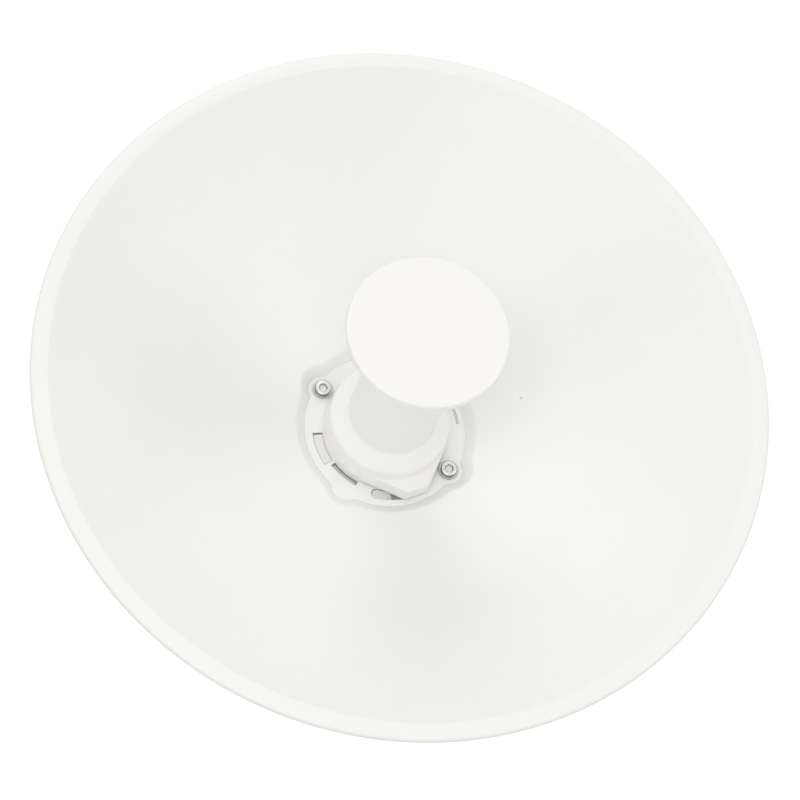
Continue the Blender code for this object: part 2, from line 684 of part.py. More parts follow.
clear_scene()
PARTS = add_collection("dish_antenna")
CUTTERS = add_collection("dish_antenna_cutters")
CUTTERS.hide_render = True
BORESIGHT = bpy.data.objects.new("boresight", None)
BORESIGHT.rotation_euler = (math.radians(90), 0.0, 0.0)
PARTS.objects.link(BORESIGHT)
WHITE_PAINT = finish_of("white_paint", PAINT, 0.40)
MOULDED_WHITE = finish_of("white_moulding", MOULDING, 0.45)
STEEL_FINISH = finish_of("stainless_steel", STEEL, 0.30, 1.0)
ZINC_FINISH = finish_of("galvanised_steel", ZINC, 0.45, 0.9)
DARK_MOULDING = finish_of("dark_moulding", RUBBER, 0.60)

build_reflector()
build_hub_plate()
build_hub_screws()
build_collar()
build_tube_and_disc()
build_flange()
build_housing()
build_tilt_bracket()
build_mast_bracket()
build_tilt_fasteners()
build_panel_screws()
build_ports()
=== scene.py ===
"""Looks of the dish antenna: finishes, fine shapes, studio light and camera.

Pieces are shaped in the boresight frame, as (right, up, forward) in metres from the mast face, and
then turned so that forward is -Y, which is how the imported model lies.
"""

import math

import bmesh
import bpy
from mathutils import Matrix, Vector


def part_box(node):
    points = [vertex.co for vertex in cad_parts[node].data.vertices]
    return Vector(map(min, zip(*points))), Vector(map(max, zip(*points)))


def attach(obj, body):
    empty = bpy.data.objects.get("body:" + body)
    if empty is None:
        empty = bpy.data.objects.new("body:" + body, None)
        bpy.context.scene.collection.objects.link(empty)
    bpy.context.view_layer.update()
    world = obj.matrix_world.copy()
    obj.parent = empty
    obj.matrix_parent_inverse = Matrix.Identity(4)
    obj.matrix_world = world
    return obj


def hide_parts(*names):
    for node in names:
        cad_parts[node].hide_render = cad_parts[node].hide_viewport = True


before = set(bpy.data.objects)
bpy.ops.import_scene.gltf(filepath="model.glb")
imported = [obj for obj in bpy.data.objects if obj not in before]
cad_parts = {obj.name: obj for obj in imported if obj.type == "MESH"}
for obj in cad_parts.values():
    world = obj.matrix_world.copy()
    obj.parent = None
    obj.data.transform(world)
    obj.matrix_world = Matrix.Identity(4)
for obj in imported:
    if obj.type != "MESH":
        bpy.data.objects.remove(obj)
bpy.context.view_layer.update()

BORESIGHT = Matrix.Rotation(math.radians(90), 4, "X")


def forward_of(node):
    """The nearest and farthest distances of a node forward of the mast face."""
    low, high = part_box(node)
    return -high.y, -low.y


def half_width_of(node):
    low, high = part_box(node)
    return (high.x - low.x) / 2


def centre_of(node):
    """The middle of a node's box, as right, up and forward."""
    low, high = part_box(node)
    middle = (low + high) / 2
    return middle.x, middle.z, -middle.y


def outward_of(node, side):
    """The nearest and farthest distances of a node from the middle, on one side."""
    low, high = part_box(node)
    return (low.x, high.x) if side > 0 else (-high.x, -low.x)


# Dish
DISH_RADIUS = half_width_of("reflector")
BOWL_RADIUS = DISH_RADIUS - 0.010
FOCAL_LENGTH = 0.128
SHEET = 0.002
RIM_FORWARD = forward_of("reflector")[1] - 0.0041
VERTEX_FORWARD = RIM_FORWARD + 0.0035 - BOWL_RADIUS**2 / (4 * FOCAL_LENGTH)
DISH_STEPS = 320

# Hub
PLATE_BACK, PLATE_FRONT = forward_of("hub_plate")
HUB_RADIUS = 0.0480
LOBE_RADIUS = 0.0085
SCREW_CIRCLE = 0.0440
SEAT_MARGIN = 0.00003
SEAT_WALL = 0.0054
SEAT_HOLE_RADIUS = 0.0358
HUB_BORE_RADIUS = 0.0345
HUB_HOLE_RADIUS = 0.0032
SEAT_FORWARD = PLATE_BACK - 0.0003
LATCH_SLOT = (0.0375, 0.0433, 173, 201)
THIN_SLOT = (0.0370, 0.0401, 204, 231)
TAB_SLOT = (0.0375, 0.0440, 245, 275)
SIDE_SLOT = (0.0434, 0.0448, -4, 23)
SHANK_RADIUS = 0.0028
CAP_HEAD = 0.0020
CAP_HEX_FLATS = 0.0020
CAP_HEX_DEPTH = 0.0014

# Feed
COLLAR_BACK, CONE_FRONT = forward_of("feed_collar")
COLLAR_FOOT = PLATE_FRONT + 0.0003
COLLAR_RADIUS = 0.0370
COLLAR_TAPER = 0.10
SHOULDER_HEIGHT = 0.0182
SHOULDER_ROUND = 0.0035
SPIGOT_RADIUS = 0.0335
TAB_REACH = 0.0450
TAB_TURN = -80
TAB_LIFT = 0.0013
TAB_HEIGHT = 0.0115
TAB_CHAMFER = 0.0010
TUBE_RADIUS = half_width_of("feed_tube")
DISC_RADIUS = half_width_of("feed_disc")
DISC_BACK, DISC_FRONT = forward_of("feed_disc")

# Flange, brackets and their fasteners
FLANGE_CORNER = 0.029
SOCKET_RADIUS = 0.0342
HOUSING_CORNER = 0.026
BRACKET_SHEET = 0.003
BEND_RADIUS = 0.003
TILT_CORNER = 0.016
MAST_CORNER = 0.020
PIVOT = centre_of("pivot_bolt_right")
LOCK = centre_of("lock_bolt_right")
LOCK_SWING = 14
BOLT_HOLE_RADIUS = 0.0043
BOLT_RADIUS = 0.0040
BOLT_FLATS = 0.0065
BOLT_HEAD = 0.0053
THREAD_PITCH = 0.00125
THREAD_DEPTH = 0.0005
THREAD_LENGTH = 0.0105
STRAP_SLOT_ACROSS = 0.027
STRAP_SLOT_UP = 0.032
STRAP_SLOT_HALF_LENGTH = 0.005
STRAP_SLOT_RADIUS = 0.0045
PANEL_HOLE_RADIUS = 0.0027
PANEL_HEAD = 0.0028
PANEL_SHANK_RADIUS = 0.0024
GLAND_FLANGE = 0.0050
GLAND_BORE = 0.0040
GLAND_THREAD_RADIUS = 0.0068

# Camera, at the photograph's viewing angle, and the studio
CAMERA_LENS = 112.5
CAMERA_AZIMUTH = -15.4
CAMERA_ELEVATION = -20.6
CAMERA_ROLL = -14.2
CAMERA_DISTANCE = 1.397
CAMERA_AIM = Vector((-0.0072, -0.194, -0.0116))
FLOOR_LEVEL = -1.10
FLOOR_RADIUS = 60.0
SURROUND_LIGHT = 0.74
BACKGROUND_LIGHT = 1.05
SOFTBOX_AIM = Vector((0.0, -0.15, 0.0))
SOFTBOXES = (
    ("top_softbox", (0.0, -1.5, 1.9), 1.6, 8.8),
    ("front_softbox", (-0.7, -2.4, -0.5), 1.2, 9.6),
    ("left_softbox", (-1.7, -1.5, -0.5), 1.0, 2.8),
    ("right_softbox", (1.4, -1.6, -0.4), 1.0, 3.9),
)


def arc(radius, start, end, steps, centre=(0.0, 0.0)):
    """Points from the start angle to the end angle, in degrees."""
    turns = [math.radians(start + (end - start) * step / steps) for step in range(steps + 1)]
    return [(centre[0] + radius * math.cos(t), centre[1] + radius * math.sin(t)) for t in turns]


def circle(radius, steps, centre=(0.0, 0.0)):
    return arc(radius, 0, 360, steps, centre)[:-1]


def fillet(points, steps=5):
    """A profile of (x, y, radius) corners, each rounded to its radius, which may be 0."""
    rounded = []
    for number, (x, y, radius) in enumerate(points):
        corner = Vector((x, y))
        if radius <= 0 or number in (0, len(points) - 1):
            rounded.append((x, y))
            continue
        back = (Vector(points[number - 1][:2]) - corner).normalized()
        ahead = (Vector(points[number + 1][:2]) - corner).normalized()
        half = back.angle(ahead) / 2
        reach = radius / math.tan(half)
        centre = corner + (back + ahead).normalized() * (radius / math.sin(half))
        first = corner + back * reach - centre
        last = corner + ahead * reach - centre
        sweep = first.angle_signed(last)
        for step in range(steps + 1):
            turned = first.copy()
            turned.rotate(Matrix.Rotation(-sweep * step / steps, 2))
            rounded.append(tuple(centre + turned))
    return rounded


def round_mesh(name, section_at, steps=96, ring=False):
    """A round solid whose section of (radius, forward) points may change with the angle.

    A ring's section is closed; any other section starts and ends on the axis.
    """
    mesh = bpy.data.meshes.new(name)
    skin = bmesh.new()
    columns = []
    for step in range(steps):
        angle = 2 * math.pi * step / steps
        across, up = math.cos(angle), math.sin(angle)
        column = [skin.verts.new((r * across, r * up, ahead)) for r, ahead in section_at(angle)]
        columns.append(column)
    for near, far in zip(columns, columns[1:] + columns[:1]):
        count = len(near)
        for inner in range(count if ring else count - 1):
            outer = (inner + 1) % count
            skin.faces.new((near[inner], near[outer], far[outer], far[inner]))
    bmesh.ops.remove_doubles(skin, verts=skin.verts, dist=0.000002)
    bmesh.ops.dissolve_degenerate(skin, edges=skin.edges, dist=0.000001)
    bmesh.ops.recalc_face_normals(skin, faces=skin.faces)
    skin.to_mesh(mesh)
    skin.free()
    return mesh


def turned(name, profile, steps=96, ring=False):
    return round_mesh(name, lambda angle: profile, steps, ring)


def plate(name, outlines, back, front, edge=0.0003, roundness=2):
    """A flat plate with rounded edges, from closed outlines: its edge first and then its holes."""
    curve = bpy.data.curves.new(name, "CURVE")
    curve.dimensions = "2D"
    curve.fill_mode = "BOTH"
    curve.extrude = (front - back) / 2 - edge
    curve.bevel_depth = edge
    curve.bevel_resolution = roundness
    curve.offset = -edge
    for outline in outlines:
        spline = curve.splines.new("POLY")
        spline.points.add(len(outline) - 1)
        for point, (across, up) in zip(spline.points, outline):
            point.co = (across, up, 0.0, 1.0)
        spline.use_cyclic_u = True
    holder = bpy.data.objects.new(name, curve)
    bpy.context.scene.collection.objects.link(holder)
    mesh = evaluated(holder, name)
    mesh.transform(Matrix.Translation((0.0, 0.0, (front + back) / 2)))
    return mesh


def evaluated(holder, name):
    """The finished mesh of a helper object, which is then removed."""
    bpy.context.view_layer.update()
    graph = bpy.context.evaluated_depsgraph_get()
    mesh = bpy.data.meshes.new_from_object(holder.evaluated_get(graph))
    mesh.name = name
    bpy.data.objects.remove(holder, do_unlink=True)
    weld = bmesh.new()
    weld.from_mesh(mesh)
    bmesh.ops.remove_doubles(weld, verts=weld.verts, dist=0.000002)
    bmesh.ops.recalc_face_normals(weld, faces=weld.faces)
    weld.to_mesh(mesh)
    weld.free()
    return mesh


def joined(name, meshes):
    mesh = bpy.data.meshes.new(name)
    whole = bmesh.new()
    for part in meshes:
        whole.from_mesh(part)
    whole.to_mesh(mesh)
    whole.free()
    return mesh


def add_part(node, mesh, finish, sharp=35):
    """The shown piece of a CAD node, turned from the boresight frame into the world."""
    mesh.transform(BORESIGHT)
    mesh.materials.clear()
    mesh.materials.append(finish)
    mesh.shade_smooth()
    mesh.set_sharp_from_angle(angle=math.radians(sharp))
    piece = bpy.data.objects.new(node + "_part", mesh)
    bpy.context.scene.collection.objects.link(piece)
    normals = piece.modifiers.new("Flat faces stay flat", "WEIGHTED_NORMAL")
    normals.keep_sharp = True
    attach(piece, "root")
    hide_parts(node)
    return piece


def moved(mesh, right=0.0, up=0.0, ahead=0.0):
    mesh.transform(Matrix.Translation((right, up, ahead)))
    return mesh


# Shader node groups


def new_group(name, inputs, outputs):
    """An empty shader node group with named number sockets."""
    group = bpy.data.node_groups.new(name, "ShaderNodeTree")
    for label, value in inputs:
        socket = group.interface.new_socket(label, in_out="INPUT", socket_type="NodeSocketFloat")
        socket.default_value = value
    for label in outputs:
        group.interface.new_socket(label, in_out="OUTPUT", socket_type="NodeSocketFloat")
    return group, group.nodes.new("NodeGroupInput"), group.nodes.new("NodeGroupOutput")


def math_node(tree, operation, first, second=0.0):
    node = tree.nodes.new("ShaderNodeMath")
    node.operation = operation
    for socket, value in zip(node.inputs, (first, second)):
        if isinstance(value, (int, float)):
            socket.default_value = value
        else:
            tree.links.new(value, socket)
    return node.outputs[0]


def noise_node(tree, position, scale, detail=3.0, roughness=0.5):
    node = tree.nodes.new("ShaderNodeTexNoise")
    tree.links.new(position, node.inputs["Vector"])
    if isinstance(scale, (int, float)):
        node.inputs["Scale"].default_value = scale
    else:
        tree.links.new(scale, node.inputs["Scale"])
    node.inputs["Detail"].default_value = detail
    node.inputs["Roughness"].default_value = roughness
    return node.outputs["Fac"]


def remap_node(tree, value, low, high, to_low=0.0, to_high=1.0):
    node = tree.nodes.new("ShaderNodeMapRange")
    node.interpolation_type = "SMOOTHSTEP"
    tree.links.new(value, node.inputs["Value"])
    for label, number in (("From Min", low), ("From Max", high), ("To Min", to_low), ("To Max", to_high)):
        if isinstance(number, (int, float)):
            node.inputs[label].default_value = number
        else:
            tree.links.new(number, node.inputs[label])
    return node.outputs["Result"]


def object_position(tree):
    return tree.nodes.new("ShaderNodeTexCoord").outputs["Object"]


def coat_ripple_group():
    """The slow ripple of a sprayed coat with a finer texture in it."""
    group, ins, outs = new_group("coat_ripple", [("Scale", 700.0), ("Fine Share", 0.25)], ["Height"])
    position = object_position(group)
    slow = noise_node(group, position, ins.outputs["Scale"], 2.0)
    fine_scale = math_node(group, "MULTIPLY", ins.outputs["Scale"], 4.3)
    fine = noise_node(group, position, fine_scale, 2.0)
    fine = math_node(group, "MULTIPLY", fine, ins.outputs["Fine Share"])
    group.links.new(math_node(group, "ADD", slow, fine), outs.inputs["Height"])
    return group


def handling_group():
    """Smudges and faint rubs from handling, as a mask for roughness."""
    inputs = [("Smudge Scale", 14.0), ("Rub Scale", 90.0)]
    group, ins, outs = new_group("handling_marks", inputs, ["Mask"])
    position = object_position(group)
    smudge = noise_node(group, position, ins.outputs["Smudge Scale"], 4.0, 0.55)
    smudge = remap_node(group, smudge, 0.42, 0.72)
    stretch = group.nodes.new("ShaderNodeMapping")
    stretch.inputs["Scale"].default_value = (1.0, 1.0, 7.0)
    stretch.inputs["Rotation"].default_value = (0.3, 0.5, 0.7)
    group.links.new(position, stretch.inputs["Vector"])
    rub = noise_node(group, stretch.outputs["Vector"], ins.outputs["Rub Scale"], 3.0)
    rub = remap_node(group, rub, 0.60, 0.78)
    mask = math_node(group, "MAXIMUM", smudge, math_node(group, "MULTIPLY", rub, 0.6))
    group.links.new(mask, outs.inputs["Mask"])
    return group


def dust_group():
    """Dust settled on faces that look up, broken up by noise."""
    group, ins, outs = new_group("settled_dust", [("Amount", 0.3), ("Patch Scale", 30.0)], ["Mask"])
    geometry = group.nodes.new("ShaderNodeNewGeometry")
    parts = group.nodes.new("ShaderNodeSeparateXYZ")
    group.links.new(geometry.outputs["Normal"], parts.inputs["Vector"])
    level = remap_node(group, parts.outputs["Z"], 0.15, 0.95)
    patches = noise_node(group, object_position(group), ins.outputs["Patch Scale"], 6.0, 0.62)
    patches = remap_node(group, patches, 0.35, 0.70)
    mask = math_node(group, "MULTIPLY", level, patches)
    mask = math_node(group, "MULTIPLY", mask, ins.outputs["Amount"])
    group.links.new(mask, outs.inputs["Mask"])
    return group


def edge_rub_group():
    """Edges that the finish has worn thin on, from the curvature of the mesh."""
    group, ins, outs = new_group("edge_rub", [("Amount", 0.5), ("Break Up Scale", 160.0)], ["Mask"])
    geometry = group.nodes.new("ShaderNodeNewGeometry")
    edges = remap_node(group, geometry.outputs["Pointiness"], 0.53, 0.62)
    breaks = noise_node(group, object_position(group), ins.outputs["Break Up Scale"], 5.0, 0.6)
    breaks = remap_node(group, breaks, 0.40, 0.62)
    mask = math_node(group, "MULTIPLY", edges, breaks)
    mask = math_node(group, "MULTIPLY", mask, ins.outputs["Amount"])
    group.links.new(mask, outs.inputs["Mask"])
    return group


def place_group(tree, group, **values):
    node = tree.nodes.new("ShaderNodeGroup")
    node.node_tree = group
    for label, value in values.items():
        node.inputs[label.replace("_", " ")].default_value = value
    return node


def mix_colours(tree, factor, first, second):
    node = tree.nodes.new("ShaderNodeMix")
    node.data_type = "RGBA"
    if isinstance(factor, (int, float)):
        node.inputs["Factor"].default_value = factor
    else:
        tree.links.new(factor, node.inputs["Factor"])
    for label, colour in (("A", first), ("B", second)):
        socket = [s for s in node.inputs if s.name == label and s.type == "RGBA"][0]
        if isinstance(colour, tuple):
            socket.default_value = (*colour, 1.0)
        else:
            tree.links.new(colour, socket)
    return [s for s in node.outputs if s.type == "RGBA"][0]


def new_finish(name, roughness, metallic=0.0, specular=0.5):
    """A material with its shader, ready for its colour, roughness and bump."""
    material = bpy.data.materials.new(name)
    material.use_nodes = True
    tree = material.node_tree
    shader = tree.nodes["Principled BSDF"]
    shader.inputs["Roughness"].default_value = roughness
    shader.inputs["Metallic"].default_value = metallic
    shader.inputs["Specular IOR Level"].default_value = specular
    return material, tree, shader


def add_bump(tree, shader, height, strength, distance):
    bump = tree.nodes.new("ShaderNodeBump")
    bump.inputs["Strength"].default_value = strength
    bump.inputs["Distance"].default_value = distance
    tree.links.new(height, bump.inputs["Height"])
    tree.links.new(bump.outputs["Normal"], shader.inputs["Normal"])


DUST_COLOUR = (0.52, 0.50, 0.46)
SPECK = (0.0820, 0.0020)
SPECK_COLOUR = (0.62, 0.62, 0.56)


def painted(name, colour, roughness, ripple_scale, ripple_depth, dust, groups, fine_share=0.25):
    """A sprayed or moulded light finish: faint patches of tone, dust on top, ripple and rubs."""
    material, tree, shader = new_finish(name, roughness, 0.0, 0.5)
    position = object_position(tree)
    patches = remap_node(tree, noise_node(tree, position, 9.0, 5.0, 0.6), 0.3, 0.7)
    shade = tuple(0.985 * channel for channel in colour)
    base = mix_colours(tree, patches, colour, shade)
    dusty = place_group(tree, groups["dust"], Amount=dust)
    base = mix_colours(tree, dusty.outputs["Mask"], base, DUST_COLOUR)
    tree.links.new(base, shader.inputs["Base Color"])
    marks = place_group(tree, groups["handling"])
    rough = remap_node(tree, marks.outputs["Mask"], 0.0, 1.0, roughness, roughness + 0.10)
    rough = math_node(tree, "ADD", rough, math_node(tree, "MULTIPLY", dusty.outputs["Mask"], 0.5))
    tree.links.new(rough, shader.inputs["Roughness"])
    ripple = place_group(tree, groups["ripple"], Scale=ripple_scale, Fine_Share=fine_share)
    add_bump(tree, shader, ripple.outputs["Height"], 0.5, ripple_depth)
    return material, tree, shader


def add_speck(tree, shader, spot, radius, colour):
    """A small dark speck of dirt at one spot."""
    distance = tree.nodes.new("ShaderNodeVectorMath")
    distance.operation = "DISTANCE"
    ragged = noise_node(tree, object_position(tree), 2500.0, 2.0)
    tree.links.new(object_position(tree), distance.inputs[0])
    distance.inputs[1].default_value = spot
    reach = math_node(tree, "ADD", distance.outputs["Value"], math_node(tree, "MULTIPLY", ragged, 0.5 * radius))
    mask = remap_node(tree, reach, 0.7 * radius, 1.4 * radius, 1.0, 0.0)
    base = shader.inputs["Base Color"].links[0].from_socket
    tree.links.new(mix_colours(tree, mask, base, colour), shader.inputs["Base Color"])


def build_finishes():
    groups = {
        "ripple": coat_ripple_group(),
        "handling": handling_group(),
        "dust": dust_group(),
        "rub": edge_rub_group(),
    }
    finishes = {}
    dish, tree, shader = painted("dish_white", (0.862, 0.870, 0.836), 0.38, 420.0, 0.00004, 0.02, groups)
    add_speck(tree, shader, (SPECK[0], -bowl_forward(math.hypot(*SPECK)), SPECK[1]), 0.0011, SPECK_COLOUR)
    finishes["dish"] = dish
    finishes["hub"] = painted("hub_white", (0.866, 0.874, 0.834), 0.42, 1500.0, 0.00003, 0.02, groups)[0]
    finishes["feed"] = painted("feed_white", (0.882, 0.872, 0.848), 0.40, 1700.0, 0.00003, 0.02, groups)[0]
    finishes["housing"] = painted("housing_white", (0.82, 0.83, 0.79), 0.45, 900.0, 0.00008, 0.10, groups)[0]
    finishes["flange"] = painted("flange_white", (0.80, 0.80, 0.75), 0.48, 900.0, 0.00008, 0.05, groups)[0]
    finishes["stainless"] = stainless_finish("stainless", groups, (0.92, 0.92, 0.88), (0.30, 0.30, 0.28))
    # The washers use the same stainless made darker all over: painted shade under the screw heads.
    finishes["washer"] = stainless_finish("washer_steel_painted_shade", groups, (0.72, 0.72, 0.68), (0.34, 0.34, 0.32))
    finishes["galvanised"] = galvanised_finish(groups)
    finishes["zinc"] = zinc_finish(groups)
    finishes["dark"] = dark_finish(groups)
    return finishes


def stainless_finish(name, groups, face, side):
    """Stainless steel with painted shade: faces that look along the screw take the pale face colour and the
    sides take the dark side colour, with slightly rubbed edges.
    """
    material, tree, shader = new_finish(name, 0.30, 1.0)
    position = object_position(tree)
    lines = noise_node(tree, position, 2600.0, 2.0)
    geometry = tree.nodes.new("ShaderNodeNewGeometry")
    parts = tree.nodes.new("ShaderNodeSeparateXYZ")
    tree.links.new(geometry.outputs["Normal"], parts.inputs["Vector"])
    level = math_node(tree, "ABSOLUTE", parts.outputs["Y"])
    # Painted shade: sides of heads, washers and hex sockets are darkened by which way they face; faces along
    # the screw stay pale.
    lit_face_mask = remap_node(tree, level, 0.55, 0.95)
    lit_face_colour = mix_colours(tree, lines, tuple(0.92 * channel for channel in face), face)
    base = mix_colours(tree, lit_face_mask, side, lit_face_colour)
    rub = place_group(tree, groups["rub"], Amount=0.4)
    base = mix_colours(tree, rub.outputs["Mask"], base, (0.80, 0.80, 0.79))
    tree.links.new(base, shader.inputs["Base Color"])
    tree.links.new(remap_node(tree, lines, 0.2, 0.8, 0.26, 0.40), shader.inputs["Roughness"])
    add_bump(tree, shader, lines, 0.3, 0.00002)
    return material


def galvanised_finish(groups):
    """Hot dipped zinc: large soft crystals, pale bloom and a little dust."""
    material, tree, shader = new_finish("galvanised", 0.42, 0.85)
    position = object_position(tree)
    crystals = tree.nodes.new("ShaderNodeTexVoronoi")
    crystals.inputs["Scale"].default_value = 130.0
    warp = noise_node(tree, position, 60.0, 3.0)
    shift = tree.nodes.new("ShaderNodeVectorMath")
    shift.operation = "MULTIPLY_ADD"
    tree.links.new(warp, shift.inputs[0])
    shift.inputs[1].default_value = (0.006, 0.006, 0.006)
    tree.links.new(position, shift.inputs[2])
    tree.links.new(shift.outputs[0], crystals.inputs["Vector"])
    grey = tree.nodes.new("ShaderNodeSeparateColor")
    tree.links.new(crystals.outputs["Color"], grey.inputs["Color"])
    bloom = remap_node(tree, noise_node(tree, position, 25.0, 6.0, 0.65), 0.45, 0.75)
    base = mix_colours(tree, grey.outputs[0], (0.50, 0.52, 0.53), (0.66, 0.68, 0.69))
    base = mix_colours(tree, bloom, base, (0.70, 0.71, 0.71))
    dusty = place_group(tree, groups["dust"], Amount=0.25)
    base = mix_colours(tree, dusty.outputs["Mask"], base, DUST_COLOUR)
    tree.links.new(base, shader.inputs["Base Color"])
    rough = remap_node(tree, grey.outputs[0], 0.0, 1.0, 0.34, 0.52)
    rough = math_node(tree, "ADD", rough, math_node(tree, "MULTIPLY", bloom, 0.12))
    tree.links.new(rough, shader.inputs["Roughness"])
    ripple = place_group(tree, groups["ripple"], Scale=500.0)
    add_bump(tree, shader, ripple.outputs["Height"], 0.5, 0.00006)
    return material


def zinc_finish(groups):
    """Bright plated zinc on bolts, nuts and washers, dulled in patches."""
    material, tree, shader = new_finish("plated_zinc", 0.32, 1.0)
    position = object_position(tree)
    tone = remap_node(tree, noise_node(tree, position, 300.0, 5.0, 0.6), 0.3, 0.7)
    base = mix_colours(tree, tone, (0.56, 0.57, 0.56), (0.68, 0.68, 0.64))
    rub = place_group(tree, groups["rub"], Amount=0.5)
    base = mix_colours(tree, rub.outputs["Mask"], base, (0.80, 0.80, 0.79))
    tree.links.new(base, shader.inputs["Base Color"])
    tree.links.new(remap_node(tree, tone, 0.0, 1.0, 0.26, 0.42), shader.inputs["Roughness"])
    ripple = place_group(tree, groups["ripple"], Scale=1800.0)
    add_bump(tree, shader, ripple.outputs["Height"], 0.4, 0.00003)
    return material


def dark_finish(groups):
    """Dark moulded plastic with a fine spark grain and pale dust."""
    material, tree, shader = new_finish("dark_moulding", 0.55)
    dusty = place_group(tree, groups["dust"], Amount=0.30)
    base = mix_colours(tree, dusty.outputs["Mask"], (0.028, 0.028, 0.030), DUST_COLOUR)
    rub = place_group(tree, groups["rub"], Amount=0.35)
    base = mix_colours(tree, rub.outputs["Mask"], base, (0.11, 0.11, 0.11))
    tree.links.new(base, shader.inputs["Base Color"])
    marks = place_group(tree, groups["handling"], Smudge_Scale=60.0)
    tree.links.new(
        remap_node(tree, marks.outputs["Mask"], 0.0, 1.0, 0.48, 0.62), shader.inputs["Roughness"]
    )
    ripple = place_group(tree, groups["ripple"], Scale=2600.0, Fine_Share=0.6)
    add_bump(tree, shader, ripple.outputs["Height"], 0.6, 0.00008)
    return material


# Shapes


def seat_radius(angle, margin):
    """Outline of the hub seat: a circle with a rounded lobe on each diagonal."""
    around = HUB_RADIUS + margin
    lobe = LOBE_RADIUS + margin
    nearest = math.radians(45) + math.radians(90) * math.floor(angle / math.radians(90))
    swing = math.sin(angle - nearest) * SCREW_CIRCLE
    if abs(swing) >= lobe:
        return around
    reach = SCREW_CIRCLE * math.cos(angle - nearest) + math.sqrt(lobe**2 - swing**2)
    blend = 0.0008
    return blend * math.log(math.exp(around / blend) + math.exp(reach / blend))


def bowl_forward(radius):
    return VERTEX_FORWARD + radius**2 / (4 * FOCAL_LENGTH)


def notch_radius(degrees):
    """Inner edge of the seat, which steps back under the hub plate's slots."""
    for inner, outer, start, end in (LATCH_SLOT, THIN_SLOT, TAB_SLOT, SIDE_SLOT):
        if start - 1 <= degrees <= end + 1 or start - 1 <= degrees - 360 <= end + 1:
            return outer + 0.0006
    return SEAT_HOLE_RADIUS


def dish_profile(angle):
    """Front profile of the dish skin at one angle, from the seat's inner edge to the lip's."""
    inner = notch_radius(math.degrees(angle))
    floor_edge = seat_radius(angle, SEAT_MARGIN)
    wall_top = seat_radius(angle, SEAT_WALL)
    slope = 2 * wall_top / (4 * FOCAL_LENGTH)
    beyond = wall_top + 0.006
    seat = [
        (inner, SEAT_FORWARD, 0.0),
        (floor_edge, SEAT_FORWARD, 0.0),
        (floor_edge, PLATE_FRONT - 0.0002, 0.0002),
        (wall_top, bowl_forward(wall_top), 0.0040),
        (beyond, bowl_forward(wall_top) + slope * (beyond - wall_top), 0.0),
    ]
    points = fillet(seat, 6)[:-1]
    start = points[-1][0] + 0.0012
    count = 34
    for step in range(count + 1):
        radius = start + (BOWL_RADIUS - 0.0012 - start) * step / count
        points.append((radius, bowl_forward(radius)))
    lip = [
        (BOWL_RADIUS - 0.0011, bowl_forward(BOWL_RADIUS - 0.0011), 0.0),
        (BOWL_RADIUS + 0.0004, RIM_FORWARD + 0.0037, 0.0006),
        (BOWL_RADIUS + 0.0045, RIM_FORWARD + 0.0041, 0.0200),
        (DISH_RADIUS - 0.0001, RIM_FORWARD + 0.0035, 0.0020),
        (DISH_RADIUS, RIM_FORWARD + 0.0010, 0.0),
    ]
    points += fillet(lip, 8)[1:]
    return points


def dish_rear(angle):
    """Rear profile of the dish skin, plainer under the seat, from the hub's hole to the lip."""
    floor_edge = seat_radius(angle, 0.0026)
    wall_top = seat_radius(angle, SEAT_WALL + 0.0006)
    back = [
        (notch_radius(math.degrees(angle)), SEAT_FORWARD - SHEET, 0.0),
        (floor_edge, SEAT_FORWARD - SHEET, 0.0020),
        (wall_top + 0.0008, bowl_forward(wall_top) - SHEET, 0.0030),
        (wall_top + 0.0060, bowl_forward(wall_top + 0.0052) - SHEET, 0.0),
    ]
    points = fillet(back, 5)
    start = points[-1][0]
    count = 30
    stop = BOWL_RADIUS - 0.0012
    radii = [start + (stop - start) * step / count for step in range(count + 1)]
    points += offset_profile([(radius, bowl_forward(radius)) for radius in radii], SHEET)[1:]
    lip = [
        points[-1] + (0.0,),
        (BOWL_RADIUS + 0.0014, RIM_FORWARD + 0.0019, 0.0006),
        (DISH_RADIUS - 0.0015, RIM_FORWARD + 0.0016, 0.0003),
        (DISH_RADIUS - 0.0012, RIM_FORWARD + 0.0006, 0.0),
    ]
    return points + fillet(lip, 6)[1:]


def offset_profile(points, distance):
    """The same profile moved square to itself, towards the rear of the sheet."""
    moved_points = []
    for number, point in enumerate(points):
        before = Vector(points[max(number - 1, 0)])
        after = Vector(points[min(number + 1, len(points) - 1)])
        along = (after - before).normalized()
        moved_points.append((point[0] + along.y * distance, point[1] - along.x * distance))
    return moved_points


def build_reflector(finishes):
    def section(angle):
        return dish_profile(angle) + dish_rear(angle)[::-1]

    mesh = round_mesh("reflector_part", section, DISH_STEPS, True)
    return add_part("reflector", mesh, finishes["dish"], 50)


def arc_slot(inner, outer, start, end, steps=16):
    return arc(outer, start, end, steps) + arc(inner, end, start, steps)


def round_start_slot(inner, outer, start, end, steps=16):
    """A slot round the middle whose first end is round."""
    middle = (inner + outer) / 2
    radius = (outer - inner) / 2
    first = start + math.degrees(math.asin(radius / middle))
    turn = math.radians(first)
    centre = (middle * math.cos(turn), middle * math.sin(turn))
    nose = arc(radius, first + 180, first + 360, steps, centre)[1:-1]
    return arc_slot(inner, outer, first, end, steps) + nose


def diagonal_spots():
    reach = SCREW_CIRCLE / math.sqrt(2)
    return {"upper": (-reach, reach), "lower": (reach, -reach)}


